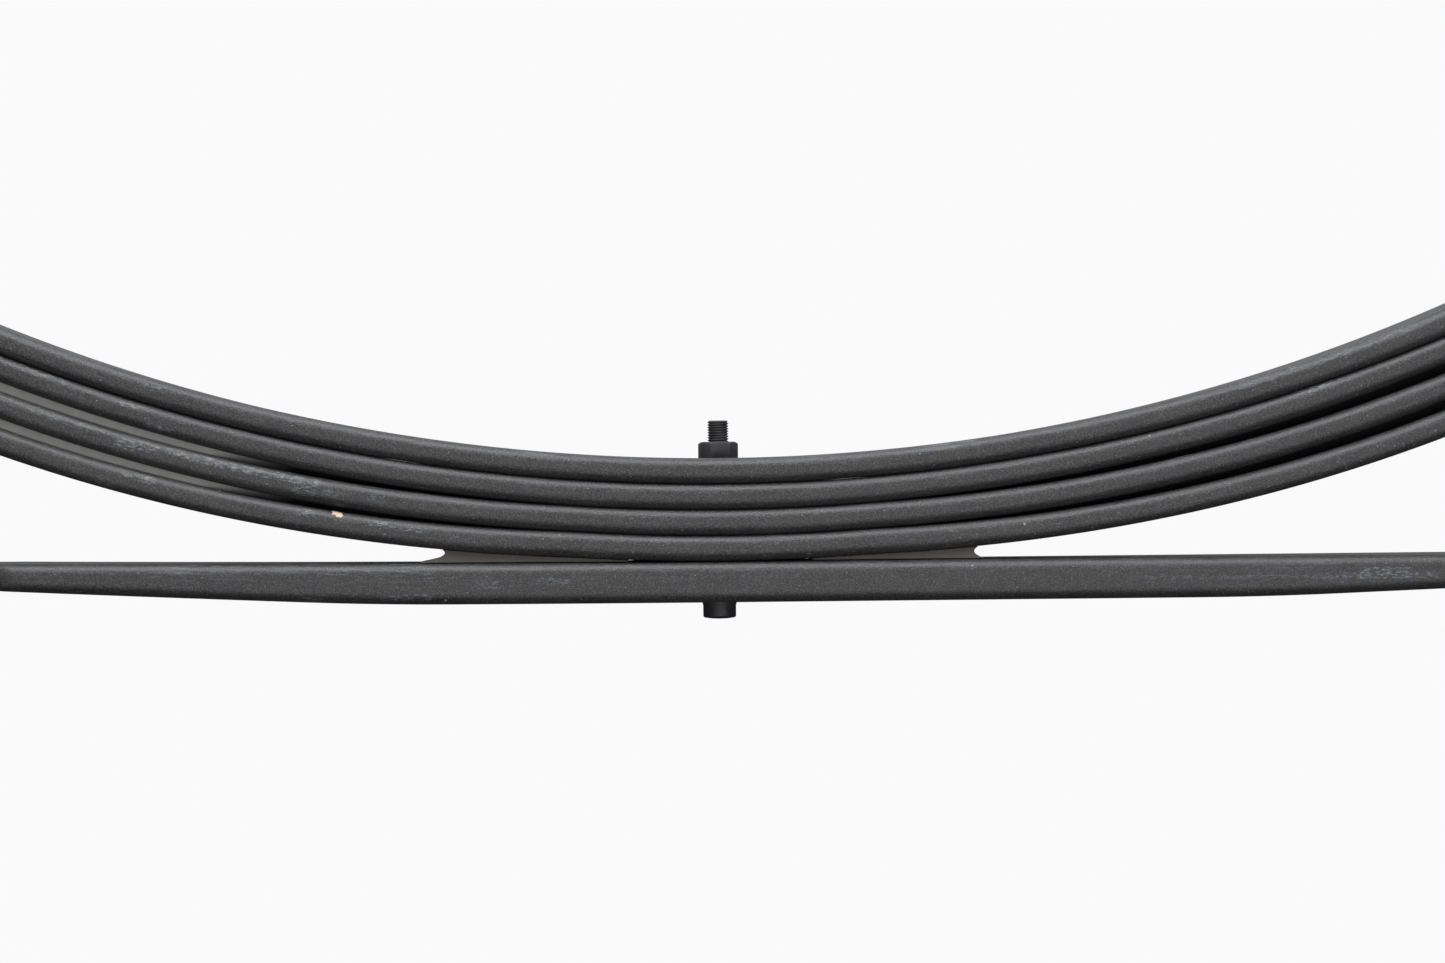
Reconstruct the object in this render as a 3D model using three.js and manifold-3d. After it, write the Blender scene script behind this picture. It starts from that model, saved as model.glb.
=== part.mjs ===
// Two-stage leaf spring: four arched leaves over one thick, nearly flat overload leaf, held by a centre bolt,
// with rubber-bushed eyes, tip pads and rebound clips.
// Millimetres. X runs along the spring (the front half is -X), Y runs across it and Z is up.
// The origin is where the centre bolt's axis meets the underside of the overload leaf.
import * as THREE from "three";
import { mergeVertices } from "three/addons/utils/BufferGeometryUtils.js";
import Module from "manifold-3d";

const wasm = await Module();
wasm.setup();

// Fits
const CLEARANCE = 0.3; // between two faces that touch
const HOLE_CLEARANCE = 0.5; // around a shank, per side
const PAST = 5; // how far a cutter runs past the faces that it cuts

// Leaves
const LEAF_WIDTH = 70;
const LEAF_THICKNESS = 12.1;
const EDGE_RADIUS = 5; // the rounded long edges of the rolled bar
const TIP_TRIM = 14; // corners cut off a plain leaf tip
const TIP_TRIM_LENGTH = 22;
const ARCH_END = 380; // beyond this distance from the bolt the arch flattens
const OUTER_RADIUS = 1400; // bend radius of the flatter ends
const NIP_START = 70; // the lower leaves part from the pack between these distances
const NIP_END = 400;

// The two halves. Lengths run along the main leaf's top face from the centre bolt.
const HALVES = {
  front: {
    side: -1, archRadius: 930, nipGap: 4.3, eye: 580, third: 490, fourth: 410,
    overload: 365, taper: 130, wedge: 127, wedgeFoot: 12, stripWidth: 58,
  },
  rear: {
    side: 1, archRadius: 930, nipGap: 4.3, eye: 640, third: 550, fourth: 470,
    overload: 400, taper: 230, wedge: 118, wedgeFoot: 3, stripWidth: 24,
  },
};

// Eyes and bushes
const EYE_BORE_RADIUS = 22;
const EYE_END_GAP = 1.2; // between the rolled end and the leaf
const WRAP_PLAY = 3; // room for the eye inside the second leaf's wrapper
const WRAP_SWEEP = THREE.MathUtils.degToRad(104);
const SHELL_WALL = 2;
const CORE_RADIUS = 12;
const CORE_BORE_RADIUS = 8.1;
const CORE_OVERHANG = 4; // each side, past the leaf
const RUBBER_OVERHANG = 2;

// Overload leaf and the wedges on it
const OVERLOAD_THICKNESS = 19.8;
const OVERLOAD_TAPER = 0.036; // thickness lost per millimetre once the taper is full
const TAPER_BLEND = 70; // the taper grows to full over this length
const OVERLOAD_TIP = 11; // its least thickness
const OVERLOAD_FRONT_RADIUS = 25000; // the front half sweeps up very slightly
const WEDGE_START = 42;
const WEDGE_WIDTH = 62;
const WEDGE_SCOOP = 5; // how far its outer end curves in

// Strips between a plain leaf and the leaf above it, narrow near the seat
const STRIP_START = 140;
const STRIP_NARROW = 24;
const STRIP_WIDEN_START = 195;
const STRIP_WIDEN_END = 235;
const STRIP_END_GAP = 3; // to the tip pad

// Centre bolt and nut
const BOLT_RADIUS = 4.95;
const BOLT_ABOVE_NUT = 10.4;
const BOLT_CHAMFER = 1;
const HEAD_RADIUS = 8;
const HEAD_HEIGHT = 8.5;
const NUT_FLATS = 17;
const NUT_HEIGHT = 8;
const NUT_TURN = THREE.MathUtils.degToRad(5);

// Tip pads
const PAD_LENGTH = 30;
const PAD_WIDTH = 42;
const PAD_FROM_TIP = 22; // its centre

// Rebound clips
const CLIP_FROM_TIP = 21; // clip centre from the fourth leaf's tip
const CLIP_LENGTH = 28;
const CLIP_STEEL = 5;
const CLIP_SIDE_GAP = 1;
const CLIP_SEAT_GAP = 0.6;
const CLIP_CORNER = 6; // outside radius of its two bends
const CLIP_EAR = 10; // ear above the bolt's axis
const CLIP_BOLT_RADIUS = 4;
const CLIP_BOLT_LIFT = 1.5; // between the spacer and the main leaf
const CLIP_BOLT_FLATS = 13;
const CLIP_HEAD_HEIGHT = 5.3;
const CLIP_NUT_HEIGHT = 6.5;
const CLIP_BOLT_END = 3; // thread past the nut
const SPACER_RADIUS = 8;
const RIVET_RADIUS = 4.7;
const RIVET_HEAD_RADIUS = 9;
const RIVET_HEAD_HEIGHT = 5;
const RIVET_SINK_RADIUS = 8;
const RIVET_SINK_DEPTH = 3.3;
const RIVET_BELOW_FACE = 0.2;
const RIVET_DOME_FACETS = 3;

// Facets
const ROUND_FACETS = 24;
const EDGE_FACETS = 2; // across a rounded long edge
const ROLL_FACET = 1.05 * EDGE_RADIUS; // inside a roll, and longer than the rounding at its cut end
const STATION_STEP = 28; // length of one facet along a leaf

// Heights and sizes that follow from those above
const LEAF_PITCH = LEAF_THICKNESS + CLEARANCE;
const FOURTH_BOTTOM = OVERLOAD_THICKNESS + CLEARANCE;
const MAIN_TOP = FOURTH_BOTTOM + 3 * LEAF_PITCH + LEAF_THICKNESS;
const EYE_OUTER_RADIUS = EYE_BORE_RADIUS + LEAF_THICKNESS;
const EYE_SWEEP = 2 * Math.PI - Math.acos((EYE_BORE_RADIUS - EYE_END_GAP) / EYE_OUTER_RADIUS);
const WRAP_RADIUS = EYE_OUTER_RADIUS + CLEARANCE + WRAP_PLAY;
const BOLT_HOLE_RADIUS = BOLT_RADIUS + HOLE_CLEARANCE;
const NUT_BOTTOM = MAIN_TOP + CLEARANCE;
const NUT_TOP = NUT_BOTTOM + NUT_HEIGHT;
const CLIP_INSIDE = LEAF_WIDTH / 2 + CLIP_SIDE_GAP;
const CLIP_OUTSIDE = CLIP_INSIDE + CLIP_STEEL;
const CLIP_BOLT_HEIGHT = SPACER_RADIUS + CLIP_BOLT_LIFT;

// Materials
const FINISHES = {
  paint: { color: 0x2b2b2d, roughness: 0.5, metalness: 0.35 },
  hardware: { color: 0x3a3a3c, roughness: 0.42, metalness: 0.7 },
  zinc: { color: 0x8d9095, roughness: 0.38, metalness: 0.9 },
  rubber: { color: 0x151515, roughness: 0.85, metalness: 0 },
  liner: { color: 0x55524c, roughness: 0.8, metalness: 0 },
  pad: { color: 0x242424, roughness: 0.6, metalness: 0 },
};

const spring = new THREE.Group();

function addMesh(name, geometry, finish, parent = spring) {
  const mesh = new THREE.Mesh(geometry, new THREE.MeshStandardMaterial(FINISHES[finish]));
  mesh.name = name;
  parent.add(mesh);
  return mesh;
}

// Booleans

function toSolid(geometry) {
  const bare = geometry.clone();
  bare.deleteAttribute("normal");
  bare.deleteAttribute("uv");
  const merged = mergeVertices(bare, 1e-4);
  const mesh = new wasm.Mesh({
    numProp: 3,
    vertProperties: new Float32Array(merged.attributes.position.array),
    triVerts: new Uint32Array(merged.index.array),
  });
  return new wasm.Manifold(mesh);
}

function toGeometry(solid) {
  const mesh = solid.getMesh();
  const geometry = new THREE.BufferGeometry();
  geometry.setAttribute("position", new THREE.BufferAttribute(mesh.vertProperties, 3));
  geometry.setIndex(new THREE.BufferAttribute(mesh.triVerts, 1));
  const flat = geometry.toNonIndexed();
  flat.computeVertexNormals();
  return flat;
}

function cut(geometry, cutters) {
  let solid = toSolid(geometry);
  for (const cutter of cutters) {
    solid = solid.subtract(toSolid(cutter));
  }
  return toGeometry(solid);
}

// Basic shapes

// A rod along Z from one height to another.
function rod(radius, from, to) {
  const geometry = new THREE.CylinderGeometry(radius, radius, to - from, ROUND_FACETS);
  geometry.rotateX(Math.PI / 2);
  geometry.translate(0, 0, (from + to) / 2);
  return geometry;
}

// A turned piece about Z from its profile of [radius, height] pairs.
function turned(profile) {
  const points = profile.map(([radius, height]) => new THREE.Vector2(radius, height));
  const geometry = new THREE.LatheGeometry(points, ROUND_FACETS);
  geometry.rotateX(Math.PI / 2);
  return geometry;
}

// A tube about Z, centred on the origin.
function tube(outer, inner, length) {
  const end = length / 2;
  return turned([[inner, -end], [outer, -end], [outer, end], [inner, end], [inner, -end]]);
}

// A hexagonal prism about Z, sized across its flats.
function hexagon(flats, from, to) {
  const corner = flats / Math.sqrt(3);
  const geometry = new THREE.CylinderGeometry(corner, corner, to - from, 6);
  geometry.rotateX(Math.PI / 2);
  geometry.translate(0, 0, (from + to) / 2);
  return geometry;
}

// A hexagonal nut whose corners are turned off at both faces.
function nut(flats, bore, from, to) {
  const flat = flats / 2;
  const corner = flats / Math.sqrt(3);
  const chamfer = corner - flat;
  const blank = toSolid(hexagon(flats, from, to));
  const turning = turned([
    [0, from], [flat, from], [corner, from + chamfer / 2],
    [corner, to - chamfer / 2], [flat, to], [0, to],
  ]);
  const hole = toSolid(rod(bore, from - PAST, to + PAST));
  return toGeometry(blank.intersect(toSolid(turning)).subtract(hole));
}

// A side outline in X and Z, run across Y and rounded along its long edges.
function across(outline, width, edge) {
  const geometry = new THREE.ExtrudeGeometry(outline, {
    depth: width - 2 * edge,
    bevelThickness: edge,
    bevelSize: edge,
    bevelOffset: -edge,
    bevelSegments: edge > CLEARANCE ? EDGE_FACETS : 1,
  });
  geometry.rotateX(Math.PI / 2);
  geometry.translate(0, width / 2 - edge, 0);
  return geometry;
}

// The arch. A station is a distance from the bolt along the main leaf's top face, negative in the front half.

function halfAt(station) {
  return station < 0 ? HALVES.front : HALVES.rear;
}

function slopeAt(station) {
  const distance = Math.abs(station);
  const arched = Math.min(distance, ARCH_END);
  return arched / halfAt(station).archRadius + (distance - arched) / OUTER_RADIUS;
}

// The point that lies a depth below the main leaf's top face.
function facePoint(station, depth) {
  const { side, archRadius } = halfAt(station);
  const angle = slopeAt(station);
  const arched = Math.min(angle, ARCH_END / archRadius);
  const reach = archRadius * Math.sin(arched) + OUTER_RADIUS * (Math.sin(angle) - Math.sin(arched));
  const rise = archRadius * (1 - Math.cos(arched)) + OUTER_RADIUS * (Math.cos(arched) - Math.cos(angle));
  return new THREE.Vector2(
    side * (reach + depth * Math.sin(angle)),
    MAIN_TOP + rise - depth * Math.cos(angle),
  );
}

function stations(from, to) {
  const steps = Math.ceil((to - from) / STATION_STEP);
  return Array.from({ length: steps + 1 }, (_, i) => from + ((to - from) * i) / steps);
}

// How far the third leaf has parted from the second, and the fourth from the third.
function nip(station) {
  const share = THREE.MathUtils.clamp((Math.abs(station) - NIP_START) / (NIP_END - NIP_START), 0, 1);
  return halfAt(station).nipGap * Math.sin((Math.PI / 2) * share);
}

const topDepth = {
  main: () => 0,
  second: () => LEAF_PITCH,
  third: (station) => 2 * LEAF_PITCH + nip(station),
  fourth: (station) => 3 * LEAF_PITCH + 2 * nip(station),
};

function bottomDepth(leaf) {
  return (station) => topDepth[leaf](station) + LEAF_THICKNESS;
}

// The outline between two faces of the arch.
function betweenFaces(upper, lower, from, to) {
  const along = stations(from, to);
  const above = along.map((station) => facePoint(station, upper(station)));
  const below = along.map((station) => facePoint(station, lower(station)));
  return new THREE.Shape([...above, ...below.reverse()]);
}

// Rolled ends

// The centre of a roll of the given inner radius that turns up from a leaf's top face.
function rollCentre(half, depth, radius) {
  return facePoint(half.side * half.eye, depth - radius);
}

function rollArc(half, centre, radius, sweep, facets) {
  const slope = slopeAt(half.side * half.eye);
  const points = [];
  for (let i = 1; i <= facets; i += 1) {
    const angle = slope + (sweep * i) / facets;
    points.push(new THREE.Vector2(
      centre.x + half.side * radius * Math.sin(angle),
      centre.y - radius * Math.cos(angle),
    ));
  }
  return points;
}

// A leaf whose two ends are rolled up, as eyes or as wrappers around the eyes.
function rolledOutline(depth, radius, sweep) {
  const along = stations(-HALVES.front.eye, HALVES.rear.eye);
  const above = along.map((station) => facePoint(station, depth));
  const below = along.map((station) => facePoint(station, depth + LEAF_THICKNESS));
  const facets = Math.floor((sweep * radius) / ROLL_FACET);
  const [front, rear] = [HALVES.front, HALVES.rear].map((half) => {
    const centre = rollCentre(half, depth, radius);
    return {
      inner: rollArc(half, centre, radius, sweep, facets),
      outer: rollArc(half, centre, radius + LEAF_THICKNESS, sweep, facets),
    };
  });
  return new THREE.Shape([
    ...front.inner.reverse(),
    ...above,
    ...rear.inner,
    ...rear.outer.reverse(),
    ...below.reverse(),
    ...front.outer,
  ]);
}

// Keeps only what lies within half a plan, given as [x, y] corners with Y above zero, and its mirror image.
function cutToPlan(geometry, half) {
  geometry.computeBoundingBox();
  const { min, max } = geometry.boundingBox;
  const otherHalf = half.map(([x, y]) => [x, -y]).reverse();
  const plan = new THREE.Shape([...half, ...otherHalf].map(([x, y]) => new THREE.Vector2(x, y)));
  const prism = new THREE.ExtrudeGeometry(plan, { depth: max.z - min.z + 2 * PAST, bevelEnabled: false });
  prism.translate(0, 0, min.z - PAST);
  return toGeometry(toSolid(geometry).intersect(toSolid(prism)));
}

// Plain leaf tips lose their corners, seen from above.
function trimTips(geometry) {
  geometry.computeBoundingBox();
  const { min, max } = geometry.boundingBox;
  const side = LEAF_WIDTH / 2 + PAST;
  const end = LEAF_WIDTH / 2 - TIP_TRIM;
  const shoulder = LEAF_WIDTH / 2;
  const rearEnd = [[max.x - TIP_TRIM_LENGTH, side], [max.x - TIP_TRIM_LENGTH, shoulder], [max.x, end]];
  const frontEnd = [[min.x, end], [min.x + TIP_TRIM_LENGTH, shoulder], [min.x + TIP_TRIM_LENGTH, side]];
  return cutToPlan(geometry, [...frontEnd, ...rearEnd]);
}

function boltHole() {
  return rod(BOLT_HOLE_RADIUS, -PAST, MAIN_TOP + PAST);
}

function addRolledLeaves() {
  const main = across(rolledOutline(topDepth.main(), EYE_BORE_RADIUS, EYE_SWEEP), LEAF_WIDTH, EDGE_RADIUS);
  addMesh("main_leaf", cut(main, [boltHole()]), "paint");
  const second = across(rolledOutline(topDepth.second(), WRAP_RADIUS, WRAP_SWEEP), LEAF_WIDTH, EDGE_RADIUS);
  addMesh("second_leaf", cut(second, [boltHole()]), "paint");
}

// The third and fourth leaves end in plain tips.
function addPlainLeaf(leaf, cutters) {
  const outline = betweenFaces(topDepth[leaf], bottomDepth(leaf), -HALVES.front[leaf], HALVES.rear[leaf]);
  const bar = trimTips(across(outline, LEAF_WIDTH, EDGE_RADIUS));
  addMesh(`${leaf}_leaf`, cut(bar, [boltHole(), ...cutters]), "paint");
}

// Overload leaf

function overloadTop(x) {
  const sweep = x < 0 ? (x * x) / (2 * OVERLOAD_FRONT_RADIUS) : 0;
  return OVERLOAD_THICKNESS + sweep;
}

function overloadBottom(x) {
  const tapered = Math.max(0, Math.abs(x) - halfAt(x).taper);
  const blended = Math.min(tapered, TAPER_BLEND);
  const lift = OVERLOAD_TAPER * (blended ** 2 / (2 * TAPER_BLEND) + tapered - blended);
  return overloadTop(x) - Math.max(OVERLOAD_TIP, OVERLOAD_THICKNESS - lift);
}

function addOverloadLeaf() {
  const along = stations(-HALVES.front.overload, HALVES.rear.overload);
  const above = along.map((x) => new THREE.Vector2(x, overloadTop(x)));
  const below = along.map((x) => new THREE.Vector2(x, overloadBottom(x)));
  const outline = new THREE.Shape([...above, ...below.reverse()]);
  const bar = trimTips(across(outline, LEAF_WIDTH, EDGE_RADIUS));
  addMesh("overload_leaf", cut(bar, [boltHole()]), "paint");
}

// Centre bolt and nut

function addCentreBolt() {
  const end = NUT_TOP + BOLT_ABOVE_NUT;
  const head = -CLEARANCE - HEAD_HEIGHT;
  const profile = [
    [0, head], [HEAD_RADIUS - BOLT_CHAMFER, head], [HEAD_RADIUS, head + BOLT_CHAMFER],
    [HEAD_RADIUS, -CLEARANCE], [BOLT_RADIUS, -CLEARANCE],
    [BOLT_RADIUS, end - BOLT_CHAMFER], [BOLT_RADIUS - BOLT_CHAMFER, end], [0, end],
  ];
  addMesh("centre_bolt", turned(profile), "hardware");
  const hexagonal = nut(NUT_FLATS, BOLT_RADIUS + CLEARANCE, NUT_BOTTOM, NUT_TOP);
  addMesh("centre_nut", hexagonal, "hardware").rotation.z = NUT_TURN;
}

// Ends. Everything below is built once for each half.

const LEAF_ABOVE = { third: "second", fourth: "third" };

// The outline that fills the gap over a plain leaf, between two distances from the bolt.
function gapOutline(leaf, half, near, far) {
  const upper = (station) => bottomDepth(LEAF_ABOVE[leaf])(station) + CLEARANCE;
  const lower = (station) => topDepth[leaf](station) - CLEARANCE;
  const [from, to] = [half.side * near, half.side * far].sort((a, b) => a - b);
  return betweenFaces(upper, lower, from, to);
}

function addPads(name, half) {
  for (const leaf of Object.keys(LEAF_ABOVE)) {
    const centre = half[leaf] - PAD_FROM_TIP;
    const outline = gapOutline(leaf, half, centre - PAD_LENGTH / 2, centre + PAD_LENGTH / 2);
    addMesh(`${leaf}_leaf_pad_${name}`, across(outline, PAD_WIDTH, CLEARANCE), "pad");
  }
}

// A wedge fills the gap that opens between the overload leaf and the fourth leaf's underside.
function addWedge(name, half) {
  const upper = (station) => bottomDepth("fourth")(station) + CLEARANCE;
  const under = (x) => overloadTop(x) + CLEARANCE;
  const along = stations(WEDGE_START, half.wedge).map((distance) => half.side * distance);
  const above = along.map((station) => facePoint(station, upper(station)));
  const start = above[0];
  const tip = above[above.length - 1];
  const foot = tip.x + half.side * half.wedgeFoot;
  const outline = new THREE.Shape(above);
  outline.quadraticCurveTo(tip.x - half.side * WEDGE_SCOOP, (tip.y + under(foot)) / 2, foot, under(foot));
  const back = stations(Math.min(start.x, foot), Math.max(start.x, foot));
  for (const x of half.side < 0 ? back : back.reverse()) {
    outline.lineTo(x, under(x));
  }
  addMesh(`seat_wedge_${name}`, across(outline, WEDGE_WIDTH, CLEARANCE), "liner");
}

// Each strip runs from where the leaves part to just short of the tip pad.
function addStrips(name, half) {
  for (const leaf of Object.keys(LEAF_ABOVE)) {
    const end = half[leaf] - PAD_FROM_TIP - PAD_LENGTH / 2 - STRIP_END_GAP;
    const strip = across(gapOutline(leaf, half, STRIP_START, end), half.stripWidth, 0);
    const plan = [
      [0, STRIP_NARROW / 2],
      [half.side * STRIP_WIDEN_START, STRIP_NARROW / 2],
      [half.side * STRIP_WIDEN_END, half.stripWidth / 2],
      [half.side * (end + PAST), half.stripWidth / 2],
    ];
    addMesh(`${leaf}_leaf_strip_${name}`, cutToPlan(strip, half.side < 0 ? plan.reverse() : plan), "liner");
  }
}

function addBush(name, half) {
  const centre = rollCentre(half, 0, EYE_BORE_RADIUS);
  const bush = new THREE.Group();
  bush.position.set(centre.x, 0, centre.y);
  bush.rotation.x = Math.PI / 2;
  const shell = EYE_BORE_RADIUS - CLEARANCE;
  const rubber = shell - SHELL_WALL - CLEARANCE;
  addMesh(`${name}_bush_shell`, tube(shell, shell - SHELL_WALL, LEAF_WIDTH), "zinc", bush);
  const rubberLength = LEAF_WIDTH + 2 * RUBBER_OVERHANG;
  addMesh(`${name}_bush_rubber`, tube(rubber, CORE_RADIUS + CLEARANCE, rubberLength), "rubber", bush);
  const coreLength = LEAF_WIDTH + 2 * CORE_OVERHANG;
  addMesh(`${name}_bush_core`, tube(CORE_RADIUS, CORE_BORE_RADIUS, coreLength), "zinc", bush);
  spring.add(bush);
}

// A clip is built about the point where its station meets the main leaf's top face. Z runs along the
// leaf's normal there.

function clipStation(half) {
  return half.side * (half.fourth - CLIP_FROM_TIP);
}

function clipFrame(half) {
  const station = clipStation(half);
  const place = facePoint(station, 0);
  const frame = new THREE.Group();
  frame.position.set(place.x, 0, place.y);
  frame.rotation.y = -half.side * slopeAt(station);
  return frame;
}

function clipSeat(half) {
  return -bottomDepth("fourth")(clipStation(half)) - CLIP_SEAT_GAP;
}

function strapOutline(half) {
  const seat = clipSeat(half);
  const base = seat - CLIP_STEEL;
  const top = CLIP_BOLT_HEIGHT + CLIP_EAR;
  const inner = CLIP_CORNER - CLIP_STEEL;
  const bend = CLIP_OUTSIDE - CLIP_CORNER;
  const outline = new THREE.Shape();
  outline.moveTo(CLIP_OUTSIDE, top);
  outline.lineTo(CLIP_INSIDE, top);
  outline.absarc(bend, base + CLIP_CORNER, inner, 0, -Math.PI / 2, true);
  outline.absarc(-bend, base + CLIP_CORNER, inner, -Math.PI / 2, -Math.PI, true);
  outline.lineTo(-CLIP_INSIDE, top);
  outline.lineTo(-CLIP_OUTSIDE, top);
  outline.absarc(-bend, base + CLIP_CORNER, CLIP_CORNER, Math.PI, 1.5 * Math.PI, false);
  outline.absarc(bend, base + CLIP_CORNER, CLIP_CORNER, 1.5 * Math.PI, 2 * Math.PI, false);
  outline.closePath();
  return outline;
}

// A turned piece or rod laid along Y at the clip bolt's height.
function alongClipBolt(geometry) {
  geometry.rotateX(Math.PI / 2);
  geometry.translate(0, 0, CLIP_BOLT_HEIGHT);
  return geometry;
}

// The rivet is sunk into the fourth leaf's top face and has a domed head under the strap.
function rivetProfile(half) {
  const sunk = -topDepth.fourth(clipStation(half)) - RIVET_BELOW_FACE;
  const under = clipSeat(half) - CLIP_STEEL - CLEARANCE;
  const dome = Array.from({ length: RIVET_DOME_FACETS + 1 }, (_, i) => {
    const angle = (Math.PI / 2) * (i / RIVET_DOME_FACETS);
    return [RIVET_HEAD_RADIUS * Math.sin(angle), under - RIVET_HEAD_HEIGHT * Math.cos(angle)];
  });
  return [
    ...dome,
    [RIVET_RADIUS, under],
    [RIVET_RADIUS, sunk - RIVET_SINK_DEPTH],
    [RIVET_SINK_RADIUS, sunk],
    [0, sunk],
  ];
}

function rivetHole(half) {
  const sunk = -topDepth.fourth(clipStation(half));
  const foot = clipSeat(half) - CLIP_STEEL - PAST;
  return turned([
    [0, foot], [RIVET_RADIUS + CLEARANCE, foot],
    [RIVET_RADIUS + CLEARANCE, sunk - RIVET_SINK_DEPTH - CLEARANCE],
    [RIVET_SINK_RADIUS + CLEARANCE, sunk], [RIVET_SINK_RADIUS + CLEARANCE, sunk + PAST], [0, sunk + PAST],
  ]);
}

// The same hole, moved from the clip's frame to the spring's.
function rivetHoleInLeaf(half) {
  const frame = clipFrame(half);
  frame.updateMatrix();
  return rivetHole(half).applyMatrix4(frame.matrix);
}

function addClip(name, half) {
  const frame = clipFrame(half);
  const blank = new THREE.ExtrudeGeometry(strapOutline(half), {
    depth: CLIP_LENGTH,
    bevelEnabled: false,
    curveSegments: 5,
  });
  blank.rotateX(Math.PI / 2);
  blank.rotateZ(Math.PI / 2);
  blank.translate(-CLIP_LENGTH / 2, 0, 0);
  const boltCut = alongClipBolt(rod(CLIP_BOLT_RADIUS + CLEARANCE, -CLIP_OUTSIDE - PAST, CLIP_OUTSIDE + PAST));
  addMesh(`${name}_clip_strap`, cut(blank, [boltCut, rivetHole(half)]), "paint", frame);
  addMesh(`${name}_clip_rivet`, turned(rivetProfile(half)), "hardware", frame);

  const spacerLength = 2 * (CLIP_INSIDE - CLEARANCE);
  const spacer = tube(SPACER_RADIUS, CLIP_BOLT_RADIUS + CLEARANCE, spacerLength);
  addMesh(`${name}_clip_spacer`, alongClipBolt(spacer), "zinc", frame);

  const face = CLIP_OUTSIDE + CLEARANCE;
  const nutEnd = face + CLIP_NUT_HEIGHT;
  const shank = toSolid(rod(CLIP_BOLT_RADIUS, -face - CLEARANCE, nutEnd + CLIP_BOLT_END));
  const head = toSolid(hexagon(CLIP_BOLT_FLATS, -face - CLIP_HEAD_HEIGHT, -face));
  addMesh(`${name}_clip_bolt`, alongClipBolt(toGeometry(shank.add(head))), "zinc", frame);
  const clipNut = nut(CLIP_BOLT_FLATS, CLIP_BOLT_RADIUS + CLEARANCE, face, nutEnd);
  addMesh(`${name}_clip_nut`, alongClipBolt(clipNut), "zinc", frame);
  spring.add(frame);
}

addRolledLeaves();
addPlainLeaf("third", []);
addPlainLeaf("fourth", [rivetHoleInLeaf(HALVES.front), rivetHoleInLeaf(HALVES.rear)]);
addOverloadLeaf();
addCentreBolt();
for (const [name, half] of Object.entries(HALVES)) {
  addWedge(name, half);
  addPads(name, half);
  addStrips(name, half);
  addBush(name, half);
  addClip(name, half);
}

export default spring;
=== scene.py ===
# Two-stage leaf spring: an arched pack of four leaves with bushed eyes, over one thick overload leaf.
# Metres, in the CAD model's frame: X along the spring (front half is -X), Y across it, Z up.
import math

import bmesh
import bpy
from mathutils import Matrix, Vector


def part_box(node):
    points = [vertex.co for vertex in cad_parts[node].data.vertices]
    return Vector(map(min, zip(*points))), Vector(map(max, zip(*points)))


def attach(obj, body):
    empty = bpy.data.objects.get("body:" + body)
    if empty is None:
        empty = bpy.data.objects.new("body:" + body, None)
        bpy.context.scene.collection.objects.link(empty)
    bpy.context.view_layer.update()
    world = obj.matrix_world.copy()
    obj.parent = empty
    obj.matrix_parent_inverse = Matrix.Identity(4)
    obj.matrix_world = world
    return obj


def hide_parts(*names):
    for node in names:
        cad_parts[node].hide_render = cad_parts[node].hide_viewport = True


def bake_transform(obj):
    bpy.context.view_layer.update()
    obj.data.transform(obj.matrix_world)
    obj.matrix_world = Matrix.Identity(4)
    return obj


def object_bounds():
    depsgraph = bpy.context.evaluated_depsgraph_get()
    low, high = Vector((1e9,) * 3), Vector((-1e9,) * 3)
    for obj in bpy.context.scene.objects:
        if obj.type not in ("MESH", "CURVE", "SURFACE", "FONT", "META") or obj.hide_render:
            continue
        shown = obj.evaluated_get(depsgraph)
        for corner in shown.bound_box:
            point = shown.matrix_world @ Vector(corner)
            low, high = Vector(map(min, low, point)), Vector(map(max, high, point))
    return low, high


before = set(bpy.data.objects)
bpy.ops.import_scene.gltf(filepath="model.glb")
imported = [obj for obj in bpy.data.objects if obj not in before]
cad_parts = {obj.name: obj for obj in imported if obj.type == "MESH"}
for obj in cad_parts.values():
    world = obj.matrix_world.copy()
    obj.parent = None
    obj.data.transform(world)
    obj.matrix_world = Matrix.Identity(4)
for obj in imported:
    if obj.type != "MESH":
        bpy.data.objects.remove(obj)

cad_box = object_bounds()


# ---- Camera ----
# Nearly square to the spring, turned a little towards its front end, at the height of the arched leaves on
# the seat.

aim = Vector((0.0020, 0.0, 0.0583))
distance = 1.860
camera_height = 0.052
yaw = math.radians(1.5)
roll = math.radians(-0.56)
camera_data = bpy.data.cameras.new("camera")
camera_data.lens = 94.7
camera_data.sensor_width = 36
camera = bpy.data.objects.new("camera", camera_data)
bpy.context.collection.objects.link(camera)
camera.location = aim - distance * Vector((math.sin(yaw), math.cos(yaw), 0))
camera.location.z = camera_height
lift = math.atan2(aim.z - camera_height, distance)
tilt = Matrix.Rotation(math.radians(90) + lift, 4, "X") @ Matrix.Rotation(roll, 4, "Z")
turn = Matrix.Rotation(-yaw, 4, "Z") @ tilt
camera.rotation_euler = turn.to_euler()
bpy.context.scene.camera = camera


# ---- Floor and light ----
# A pale studio: white to look at, lit by a dome that is bright above and dim below, with one broad soft
# light overhead and one low in front. The floor is a pale disc well below the spring.

bpy.context.scene.view_settings.view_transform = "Standard"

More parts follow.
